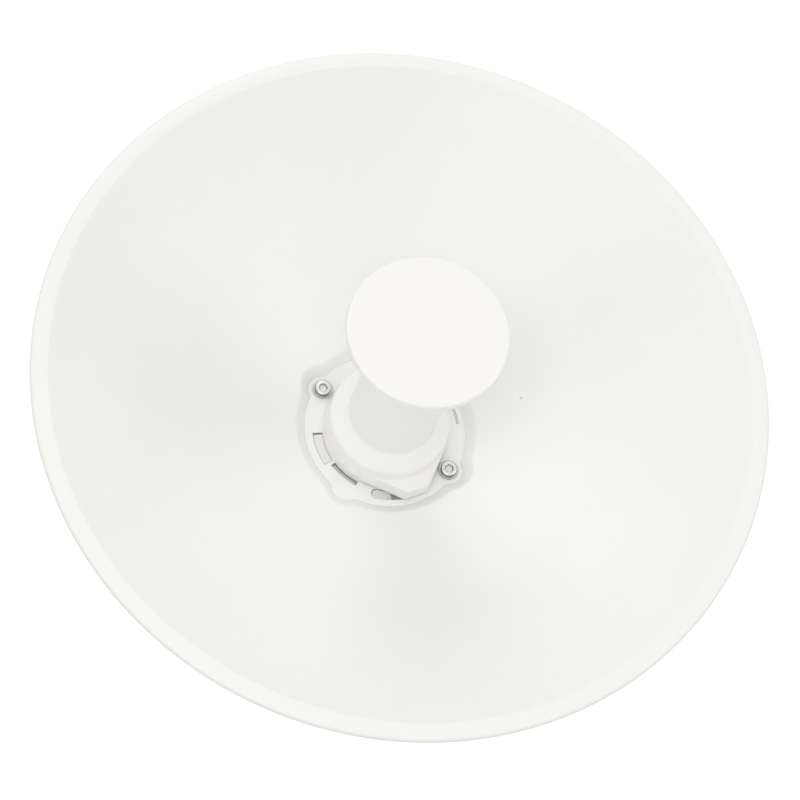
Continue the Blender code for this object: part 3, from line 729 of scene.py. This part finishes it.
def build_hub_plate(finishes):
    steps = 288
    edge = []
    for step in range(steps):
        angle = 2 * math.pi * step / steps
        radius = seat_radius(angle, 0.0)
        edge.append((radius * math.cos(angle), radius * math.sin(angle)))
    outlines = [edge, circle(HUB_BORE_RADIUS, 120)]
    outlines += [arc_slot(*slot) for slot in (LATCH_SLOT, THIN_SLOT, SIDE_SLOT)]
    outlines.append(round_start_slot(*TAB_SLOT))
    outlines += [circle(HUB_HOLE_RADIUS, 32, spot) for spot in diagonal_spots().values()]
    mesh = plate("hub_plate_part", outlines, PLATE_BACK, PLATE_FRONT, 0.00025, 3)
    return add_part("hub_plate", mesh, finishes["hub"])


def hexagon_radius(angle, flats):
    """Distance to the side of a hexagon with this half width across its flats."""
    turn = (angle + math.pi / 6) % (math.pi / 3) - math.pi / 6
    return flats / math.cos(turn)


def socket_screw_mesh(name, head_radius, head, flats, socket_depth, shank_radius, shank):
    """A cap screw that stands on 0, with a chamfered hexagon socket and a shank below."""

    def section(angle):
        hexagon = hexagon_radius(angle, flats)
        floor = head - socket_depth
        points = [(0.0, floor - 0.0004, 0.0), (flats * 0.95, floor, 0.0), (hexagon, floor, 0.0)]
        points += [(hexagon, head - 0.0005, 0.0), (flats * 1.17 + 0.0002, head, 0.0)]
        points += [(head_radius, head, 0.0010), (head_radius, 0.0, 0.0002)]
        points += [(shank_radius, 0.0, 0.0), (shank_radius, -shank, 0.0), (0.0, -shank, 0.0)]
        return fillet(points, 4)

    return round_mesh(name, section, 72)


def washer_mesh(name, radius, bore, height, edge=0.0002):
    middle = (radius + bore) / 2
    corners = [(radius, 0.0), (radius, height), (bore, height), (bore, 0.0)]
    points = [(middle, 0.0, 0.0)] + [(r, h, edge) for r, h in corners] + [(middle, 0.0, 0.0)]
    return turned(name, fillet(points, 3)[:-1], 64, True)


def build_hub_screws(finishes):
    turns = {"upper": 20, "lower": 50}
    for side, (across, up) in diagonal_spots().items():
        node = "hub_washer_" + side
        back, front = forward_of(node)
        mesh = washer_mesh(node, half_width_of(node), HUB_HOLE_RADIUS, front - back)
        add_part(node, moved(mesh, across, up, back), finishes["washer"])
        node = "hub_screw_" + side
        back, front = forward_of(node)
        shank = front - back - CAP_HEAD
        sizes = (half_width_of(node), CAP_HEAD, CAP_HEX_FLATS, CAP_HEX_DEPTH, SHANK_RADIUS, shank)
        mesh = socket_screw_mesh(node, *sizes)
        mesh.transform(Matrix.Rotation(math.radians(turns[side]), 4, "Z"))
        mesh = moved(mesh, across, up, front - CAP_HEAD)
        add_part(node, mesh, finishes["stainless"], 30)


def tab_swing(angle):
    """How far an angle is from the middle of the collar's tab, in degrees."""
    return abs((math.degrees(angle) - TAB_TURN + 180) % 360 - 180)


def collar_radius(angle, inset):
    """Outline of the collar, inset square to itself: a circle with a blunt 90 degree tab."""
    swing = tab_swing(angle)
    around = COLLAR_RADIUS - inset
    if swing >= 45:
        return around
    flank = around / math.cos(math.radians(45 - swing))
    blunt = (TAB_REACH - inset) / math.cos(math.radians(swing))
    blend = 0.0004
    return -blend * math.log(math.exp(-flank / blend) + math.exp(-blunt / blend))


def collar_section(angle):
    """The spigot, the underside, the drafted wall with the top of the tab, the shoulder and the cone."""
    swing = tab_swing(angle)
    low = TAB_LIFT * min(max((50 - swing) / 4, 0.0), 1.0)
    chamfer = TAB_CHAMFER * min(max((48 - swing) / 4, 0.0), 1.0)
    section = [(0.0, COLLAR_BACK), (SPIGOT_RADIUS, COLLAR_BACK), (SPIGOT_RADIUS, COLLAR_FOOT + low)]
    section += [(collar_radius(angle, 0.0004), COLLAR_FOOT + low)]
    low += 0.0004
    rise = TAB_HEIGHT - TAB_CHAMFER - low
    for step in range(9):
        level = low + rise * step / 8
        section.append((collar_radius(angle, COLLAR_TAPER * level), COLLAR_FOOT + level))
    for step in range(1, 4):
        level = TAB_HEIGHT - TAB_CHAMFER * (1 - step / 3)
        inset = COLLAR_TAPER * level + chamfer * step / 3
        radius = max(collar_radius(angle, inset), COLLAR_RADIUS - COLLAR_TAPER * level)
        section.append((radius, COLLAR_FOOT + level))
    shoulder = COLLAR_RADIUS - COLLAR_TAPER * SHOULDER_HEIGHT
    upper = [
        (COLLAR_RADIUS - COLLAR_TAPER * TAB_HEIGHT, COLLAR_FOOT + TAB_HEIGHT, 0.0),
        (shoulder, COLLAR_FOOT + SHOULDER_HEIGHT, SHOULDER_ROUND),
        (TUBE_RADIUS + 0.0006, CONE_FRONT - 0.0014, 0.0040),
        (TUBE_RADIUS + 0.00003, CONE_FRONT, 0.0),
    ]
    section += fillet(upper, 9)
    section += [(TUBE_RADIUS + 0.0002, CONE_FRONT - 0.003), (TUBE_RADIUS + 0.0002, COLLAR_FOOT + TAB_HEIGHT)]
    return section + [(0.0, COLLAR_FOOT + TAB_HEIGHT)]


def wall_mark(name, start, end, low, high, proud):
    """A plain raised bar on the collar's wall, between two angles and two heights over its foot."""
    steps = 12
    mesh = bpy.data.meshes.new(name)
    bar = bmesh.new()
    loops = []
    for step in range(steps + 1):
        angle = math.radians(start + (end - start) * step / steps)
        taper = min(1.0, 2.5 * math.sin(math.pi * step / steps) + 0.15)
        middle, half = (low + high) / 2, (high - low) / 2 * taper
        wall = COLLAR_RADIUS - COLLAR_TAPER * middle
        inner, outer = wall - 0.0004, wall + proud * taper
        spots = [(inner, middle - half), (outer, middle - 0.7 * half)]
        spots += [(outer, middle + 0.7 * half), (inner, middle + half)]
        turn = (math.cos(angle), math.sin(angle))
        loops.append([bar.verts.new((r * turn[0], r * turn[1], COLLAR_FOOT + h)) for r, h in spots])
    for near, far in zip(loops, loops[1:]):
        for here in range(4):
            there = (here + 1) % 4
            bar.faces.new((near[here], near[there], far[there], far[here]))
    bar.faces.new(loops[0])
    bar.faces.new(loops[-1])
    bmesh.ops.recalc_face_normals(bar, faces=bar.faces)
    bar.to_mesh(mesh)
    bar.free()
    return mesh


def build_collar(finishes):
    marks = [(207.5, 213.0, 0.0050, 0.0075), (219.5, 230.0, 0.0048, 0.0055), (219.5, 230.0, 0.0066, 0.0073)]
    meshes = [round_mesh("feed_collar_part", collar_section, 540)]
    meshes += [wall_mark("collar_mark", *mark, 0.0004) for mark in marks]
    mesh = joined("feed_collar_part", meshes)
    return add_part("feed_collar", mesh, finishes["feed"], 40)


def build_tube_and_disc(finishes):
    back, front = forward_of("feed_tube")
    levels = [back + 0.0003 + (front - back - 0.0006) * step / 12 for step in range(13)]
    profile = [(0.0, back), (TUBE_RADIUS - 0.0003, back)] + [(TUBE_RADIUS, level) for level in levels]
    profile += [(TUBE_RADIUS - 0.0003, front), (0.0, front)]
    add_part("feed_tube", turned("feed_tube_part", profile, 144), finishes["feed"])
    crown = [DISC_RADIUS * step / 16 for step in range(16)]
    face = [(radius, DISC_FRONT - 0.0008 * (radius / DISC_RADIUS) ** 2) for radius in crown]
    edge = [
        face[-1] + (0.0,),
        (DISC_RADIUS - 0.0002, DISC_FRONT - 0.0009, 0.0012),
        (DISC_RADIUS, DISC_FRONT - 0.0055, 0.0008),
        (0.0290, DISC_BACK, 0.0),
        (0.0, DISC_BACK, 0.0),
    ]
    mesh = turned("feed_disc_part", face + fillet(edge, 8)[1:], 192)
    add_part("feed_disc", mesh, finishes["feed"])


def rounded_rectangle(half_across, half_up, corner, steps=12):
    across, up = half_across - corner, half_up - corner
    spots = [(across, up), (-across, up), (-across, -up), (across, -up)]
    return [p for i, spot in enumerate(spots) for p in arc(corner, 90 * i, 90 * i + 90, steps, spot)]


def rounded_block(name, half_across, half_up, corner, profile):
    """A block with rounded corners, from (inset, forward) points of its side, closed at both ends."""
    mesh = bpy.data.meshes.new(name)
    block = bmesh.new()
    rings = []
    for inset, ahead in profile:
        radius = max(corner - inset, 0.001)
        outline = rounded_rectangle(half_across - inset, half_up - inset, radius)
        rings.append([block.verts.new((across, up, ahead)) for across, up in outline])
    for near, far in zip(rings, rings[1:]):
        for here in range(len(near)):
            there = (here + 1) % len(near)
            block.faces.new((near[here], near[there], far[there], far[here]))
    block.faces.new(rings[0])
    block.faces.new(rings[-1])
    bmesh.ops.recalc_face_normals(block, faces=block.faces)
    block.to_mesh(mesh)
    block.free()
    return mesh


def build_flange(finishes):
    """The flange behind the seat, with the pads that show in the hub plate's slots."""
    back, front = forward_of("rear_flange")
    half = half_width_of("rear_flange")
    outlines = [rounded_rectangle(half, half, FLANGE_CORNER), circle(SOCKET_RADIUS, 96)]
    outlines += [circle(HUB_HOLE_RADIUS, 32, spot) for spot in diagonal_spots().values()]
    meshes = [plate("rear_flange_part", outlines, back, front, 0.0008, 3)]
    pads = [
        (arc_slot(LATCH_SLOT[0] + 0.0002, LATCH_SLOT[1] - 0.0003, 174.5, 200.6), 0.0006),
        (arc_slot(THIN_SLOT[0] + 0.0002, THIN_SLOT[1] - 0.0002, 204.4, 230.7), 0.0031),
        (round_start_slot(TAB_SLOT[0] + 0.0003, TAB_SLOT[1] - 0.0003, 245.5, 262.0), 0.0016),
        (arc_slot(SIDE_SLOT[0] + 0.0004, SIDE_SLOT[1] - 0.0001, -3.7, 22.7), 0.0006),
    ]
    for outline, depth in pads:
        meshes.append(plate("slot_pad", [outline], front - 0.0010, PLATE_FRONT - depth, 0.0002, 2))
    mesh = joined("rear_flange_part", meshes)
    return add_part("rear_flange", mesh, finishes["flange"])


def build_housing(finishes):
    back, front = forward_of("radio_housing")
    half = half_width_of("radio_housing")
    seam = front - 0.0090
    groove = 0.0006
    profile = [
        (0.0100, back, 0.0),
        (0.0004, back, 0.0042),
        (0.0, seam - groove, 0.0004),
        (0.0010, seam - groove, 0.0002),
        (0.0010, seam + groove, 0.0002),
        (0.0, seam + groove, 0.0004),
        (0.0, front, 0.0008),
        (0.0100, front, 0.0),
    ]
    mesh = rounded_block("radio_housing_part", half, half, HOUSING_CORNER, fillet(profile, 6))
    return add_part("radio_housing", mesh, finishes["housing"])


def folded_channel(name, half_width, web, tip, half_height, corner, web_holes, cheek_holes):
    """A channel folded from a flat plate: a web that lies across and two cheeks towards the tip.

    Web holes are outlines of (right, up) points, and cheek holes outlines of (forward, up) points.
    """
    toward = math.copysign(1.0, tip - web)
    corner_depth = BRACKET_SHEET + BEND_RADIUS
    flat = half_width - corner_depth
    middle = BEND_RADIUS + BRACKET_SHEET / 2
    bent = flat + middle * math.pi / 2
    reach = bent + abs(tip - web) - corner_depth
    outlines = [rounded_rectangle(reach, half_height, corner)] + web_holes
    for hole in cheek_holes:
        for side in (-1, 1):
            run = [(side * (bent + abs(ahead - web) - corner_depth), up) for ahead, up in hole]
            outlines.append(run)
    half_sheet = BRACKET_SHEET / 2
    mesh = plate(name, outlines, -half_sheet, half_sheet, 0.0004)
    channel = bmesh.new()
    channel.from_mesh(mesh)
    for side in (-1, 1):
        for step in range(9):
            line = (side * (flat + (bent - flat) * step / 8), 0.0, 0.0)
            parts = channel.verts[:] + channel.edges[:] + channel.faces[:]
            bmesh.ops.bisect_plane(channel, geom=parts, plane_co=line, plane_no=(1.0, 0.0, 0.0))
    for vert in channel.verts:
        across, up, depth = vert.co
        run = abs(across)
        if run <= flat:
            right, ahead = run, half_sheet + depth
        elif run <= bent:
            turn = (run - flat) / middle
            right = flat + (middle - depth) * math.sin(turn)
            ahead = corner_depth - (middle - depth) * math.cos(turn)
        else:
            right, ahead = flat + middle - depth, corner_depth + run - bent
        vert.co = (math.copysign(right, across), up, web + toward * ahead)
    bmesh.ops.recalc_face_normals(channel, faces=channel.faces)
    channel.to_mesh(mesh)
    channel.free()
    return mesh


def panel_spots():
    return [centre_of("panel_screw_%d" % number)[:2] for number in range(1, 5)]


def build_tilt_bracket(finishes):
    tip, web = forward_of("tilt_bracket")
    low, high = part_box("tilt_bracket")
    web_holes = [circle(PANEL_HOLE_RADIUS, 32, spot) for spot in panel_spots()]
    cheek_holes = [circle(BOLT_HOLE_RADIUS, 48, (spot[2], spot[1])) for spot in (PIVOT, LOCK)]
    sizes = (half_width_of("tilt_bracket"), web, tip, (high.z - low.z) / 2, TILT_CORNER)
    mesh = folded_channel("tilt_bracket_part", *sizes, web_holes, cheek_holes)
    add_part("tilt_bracket", mesh, finishes["galvanised"])


def lock_slot_outline():
    """The curved slot that the lock bolt runs in, centred on the pivot, as (forward, up) points."""
    pivot = (PIVOT[2], PIVOT[1])
    swing = math.hypot(LOCK[2] - PIVOT[2], LOCK[1] - PIVOT[1])
    low, high = 90 - LOCK_SWING, 90 + LOCK_SWING
    radius = BOLT_HOLE_RADIUS
    outline = arc(swing + radius, low, high, 16, pivot)
    outline += arc(radius, high, high + 180, 12, arc(swing, low, high, 1, pivot)[1])[1:-1]
    outline += arc(swing - radius, high, low, 16, pivot)
    outline += arc(radius, low + 180, low + 360, 12, arc(swing, low, high, 1, pivot)[0])[1:-1]
    return outline


def strap_slot(across, up):
    """An upright slot with round ends."""
    top = arc(STRAP_SLOT_RADIUS, 0, 180, 16, (across, up + STRAP_SLOT_HALF_LENGTH))
    return top + arc(STRAP_SLOT_RADIUS, 180, 360, 16, (across, up - STRAP_SLOT_HALF_LENGTH))


def build_mast_bracket(finishes):
    web, tip = forward_of("mast_bracket")
    low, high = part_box("mast_bracket")
    web_holes = []
    for side in (-1, 1):
        for level in (-1, 1):
            web_holes.append(strap_slot(side * STRAP_SLOT_ACROSS, level * STRAP_SLOT_UP))
    cheek_holes = [circle(BOLT_HOLE_RADIUS, 48, (PIVOT[2], PIVOT[1])), lock_slot_outline()]
    sizes = (half_width_of("mast_bracket"), web, tip, (high.z - low.z) / 2, MAST_CORNER)
    mesh = folded_channel("mast_bracket_part", *sizes, web_holes, cheek_holes)
    add_part("mast_bracket", mesh, finishes["galvanised"])


def thread_radius(angle, level):
    """Radius of a V thread at one height along its bolt."""
    turn = (level / THREAD_PITCH - angle / (2 * math.pi)) % 1.0
    return BOLT_RADIUS - THREAD_DEPTH * abs(2 * turn - 1)


def bolt_mesh(name, shank):
    """A hexagon bolt whose head stands on 0, with a washer face and a threaded end."""
    bevel = 0.93 * BOLT_FLATS
    thread_start = shank - THREAD_LENGTH
    rings = 8 * int((THREAD_LENGTH - 0.0008) / THREAD_PITCH)

    def section(angle):
        hexagon = hexagon_radius(angle, BOLT_FLATS)
        points = [(0.0, BOLT_HEAD), (bevel - 0.0003, BOLT_HEAD), (bevel, BOLT_HEAD - 0.0001)]
        points += [(hexagon, BOLT_HEAD - (hexagon - bevel) * 0.55 - 0.0001), (hexagon, 0.0004)]
        points += [(0.95 * BOLT_FLATS, 0.0004), (0.95 * BOLT_FLATS, 0.0), (BOLT_RADIUS, 0.0)]
        points += [(BOLT_RADIUS, -thread_start)]
        for ring in range(1, rings + 1):
            level = thread_start + ring * THREAD_PITCH / 8
            points.append((thread_radius(angle, level), -level))
        return points + [(BOLT_RADIUS - 0.0008, -shank), (0.0, -shank)]

    return round_mesh(name, section, 72)


def nut_mesh(name, height):
    """A hexagon nut lying on 0, chamfered on both faces, with a countersunk bore."""
    bevel = 0.93 * BOLT_FLATS
    bore = BOLT_RADIUS + 0.0001

    def section(angle):
        hexagon = hexagon_radius(angle, BOLT_FLATS)
        drop = (hexagon - bevel) * 0.55
        points = [(bore, 0.0005), (bore + 0.0005, 0.0), (bevel, 0.0), (hexagon, drop)]
        points += [(hexagon, height - drop), (bevel, height), (bore + 0.0005, height)]
        return points + [(bore, height - 0.0005)]

    return round_mesh(name, section, 72, True)


def along_side(mesh, side):
    """Turn a mesh that stands forward so that it stands out to the right, or to the left for -1."""
    mesh.transform(Matrix.Rotation(math.radians(90 * side), 4, "Y"))
    return mesh


def build_tilt_fasteners(finishes):
    spots = {"pivot": PIVOT, "lock": LOCK}
    turns = {"pivot_right": 8, "pivot_left": 23, "lock_right": 41, "lock_left": 14}
    zinc = finishes["zinc"]
    for kind, (across, up, ahead) in spots.items():
        for side, label in ((1, "right"), (-1, "left")):
            turn = Matrix.Rotation(math.radians(turns["%s_%s" % (kind, label)]), 4, "Z")
            node = "%s_washer_%s" % (kind, label)
            near, far = outward_of(node, side)
            low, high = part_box(node)
            mesh = washer_mesh(node, (high.z - low.z) / 2, BOLT_HOLE_RADIUS, far - near)
            mesh = moved(along_side(mesh, side), side * near, up, ahead)
            add_part(node, mesh, zinc)
            node = "%s_bolt_%s" % (kind, label)
            near, far = outward_of(node, side)
            mesh = bolt_mesh(node, far - near - BOLT_HEAD)
            mesh.transform(turn)
            mesh = moved(along_side(mesh, side), side * (far - BOLT_HEAD), up, ahead)
            add_part(node, mesh, zinc, 28)
            node = "%s_nut_%s" % (kind, label)
            near, far = outward_of(node, side)
            mesh = nut_mesh(node, far - near)
            mesh.transform(turn)
            mesh = moved(along_side(mesh, -side), side * far, up, ahead)
            add_part(node, mesh, zinc, 28)


def build_panel_screws(finishes):
    turns = (10, 35, 52, 24)
    for number, turn in enumerate(turns, 1):
        node = "panel_screw_%d" % number
        back, front = forward_of(node)
        across, up = centre_of(node)[:2]
        shank = front - back - PANEL_HEAD
        sizes = (half_width_of(node), PANEL_HEAD, 0.0015, 0.0016, PANEL_SHANK_RADIUS, shank)
        mesh = socket_screw_mesh(node, *sizes)
        mesh.transform(Matrix.Rotation(math.radians(turn), 4, "Z"))
        mesh.transform(Matrix.Rotation(math.pi, 4, "X"))
        mesh = moved(mesh, across, up, back + PANEL_HEAD)
        add_part(node, mesh, finishes["stainless"], 30)


def hung_below(mesh, node):
    """Turn a mesh that stands forward so that it hangs down from the top of its node."""
    across, up, ahead = centre_of(node)
    mesh.transform(Matrix.Rotation(math.radians(90), 4, "X"))
    return moved(mesh, across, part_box(node)[1].z, ahead)


def build_ports(finishes):
    low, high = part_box("port_cover")
    depth = high.z - low.z
    half_across, half_ahead = (high.x - low.x) / 2, (high.y - low.y) / 2
    profile = [
        (0.0080, 0.0, 0.0),
        (0.0, 0.0, 0.0003),
        (0.0, 0.6 * depth, 0.0007),
        (0.0024, 0.72 * depth, 0.0006),
        (0.0030, depth, 0.0007),
        (0.0080, depth, 0.0),
    ]
    mesh = rounded_block("port_cover_part", half_across, half_ahead, 0.0045, fillet(profile, 5))
    add_part("port_cover", hung_below(mesh, "port_cover"), finishes["feed"])

    low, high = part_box("cable_gland")
    depth = high.z - low.z
    flats = half_width_of("cable_gland") * math.cos(math.radians(30))

    def gland_section(angle):
        hexagon = hexagon_radius(angle, flats)
        points = [(GLAND_BORE, 0.0), (hexagon, 0.0), (hexagon, GLAND_FLANGE - (hexagon - 0.95 * flats) * 0.5)]
        points += [(0.95 * flats, GLAND_FLANGE), (GLAND_THREAD_RADIUS, GLAND_FLANGE)]
        return points + [(GLAND_THREAD_RADIUS, depth), (GLAND_BORE, depth)]

    mesh = round_mesh("cable_gland_part", gland_section, 72, True)
    add_part("cable_gland", hung_below(mesh, "cable_gland"), finishes["dark"], 30)

    low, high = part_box("gland_nut")
    depth = high.z - low.z
    radius = half_width_of("gland_nut")
    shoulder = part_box("cable_gland")[0].z
    hollow_depth = high.z - shoulder + 0.0003
    ribs = 16

    def nut_section(angle):
        grip = radius - 0.0007 * (0.5 + 0.5 * math.cos(ribs * angle)) ** 2
        points = [(GLAND_THREAD_RADIUS + 0.0003, 0.0, 0.0), (radius - 0.0005, 0.0, 0.0)]
        points += [(grip, 0.0006, 0.0), (grip, 0.68 * depth, 0.0), (radius - 0.0010, 0.74 * depth, 0.0)]
        points += [(0.78 * radius, depth, 0.0018), (GLAND_BORE, depth, 0.0004)]
        points += [(GLAND_BORE, hollow_depth, 0.0), (GLAND_THREAD_RADIUS + 0.0003, hollow_depth, 0.0)]
        return fillet(points, 5)

    mesh = round_mesh("gland_nut_part", nut_section, 192, True)
    add_part("gland_nut", hung_below(mesh, "gland_nut"), finishes["dark"], 30)


# Studio


def build_studio():
    scene = bpy.context.scene
    scene.view_settings.view_transform = "Standard"
    scene.view_settings.look = "None"
    world = bpy.data.worlds.new("studio")
    scene.world = world
    world.use_nodes = True
    tree = world.node_tree
    background = tree.nodes["Background"]
    path = tree.nodes.new("ShaderNodeLightPath")
    strength = remap_node(tree, path.outputs["Is Camera Ray"], 0.0, 1.0, SURROUND_LIGHT, BACKGROUND_LIGHT)
    background.inputs["Color"].default_value = (1.0, 1.0, 1.0, 1.0)
    tree.links.new(strength, background.inputs["Strength"])
    for name, spot, size, power in SOFTBOXES:
        add_softbox(name, spot, size, power)
    mesh = bpy.data.meshes.new("studio_floor")
    floor = bmesh.new()
    bmesh.ops.create_circle(floor, cap_ends=True, segments=96, radius=FLOOR_RADIUS)
    floor.to_mesh(mesh)
    floor.free()
    piece = bpy.data.objects.new("studio_floor", mesh)
    piece.location = (0.0, 0.0, FLOOR_LEVEL)
    scene.collection.objects.link(piece)
    material, tree, shader = new_finish("pale_floor", 0.7)
    position = object_position(tree)
    tone = noise_node(tree, position, 3.0, 6.0, 0.6)
    tree.links.new(mix_colours(tree, tone, (0.84, 0.84, 0.83), (0.88, 0.88, 0.87)), shader.inputs["Base Color"])
    mesh.materials.append(material)


def add_softbox(name, spot, size, power):
    """A square area light that faces the dish."""
    light = bpy.data.lights.new(name, "AREA")
    light.shape = "SQUARE"
    light.size = size
    light.energy = power
    holder = bpy.data.objects.new(name, light)
    holder.location = spot
    holder.rotation_euler = (SOFTBOX_AIM - Vector(spot)).to_track_quat("-Z", "Y").to_euler()
    holder.visible_camera = False
    bpy.context.scene.collection.objects.link(holder)


def build_camera():
    azimuth, elevation = math.radians(CAMERA_AZIMUTH), math.radians(CAMERA_ELEVATION)
    roll = math.radians(CAMERA_ROLL)
    back = Vector(
        (
            math.sin(azimuth) * math.cos(elevation),
            -math.cos(azimuth) * math.cos(elevation),
            math.sin(elevation),
        )
    )
    level = (-back).cross(Vector((0.0, 0.0, 1.0))).normalized()
    right = math.cos(roll) * level + math.sin(roll) * back.cross(level)
    turn = Matrix((right, back.cross(right), back)).transposed().to_4x4()
    data = bpy.data.cameras.new("photo_camera")
    data.lens = CAMERA_LENS
    data.sensor_width = 36.0
    camera = bpy.data.objects.new("photo_camera", data)
    camera.matrix_world = Matrix.Translation(CAMERA_AIM + CAMERA_DISTANCE * back) @ turn
    bpy.context.scene.collection.objects.link(camera)
    bpy.context.scene.camera = camera


build_camera()
build_studio()
finishes = build_finishes()
build_reflector(finishes)
build_hub_plate(finishes)
build_hub_screws(finishes)
build_collar(finishes)
build_tube_and_disc(finishes)
build_flange(finishes)
build_housing(finishes)
build_tilt_bracket(finishes)
build_mast_bracket(finishes)
build_tilt_fasteners(finishes)
build_panel_screws(finishes)
build_ports(finishes)
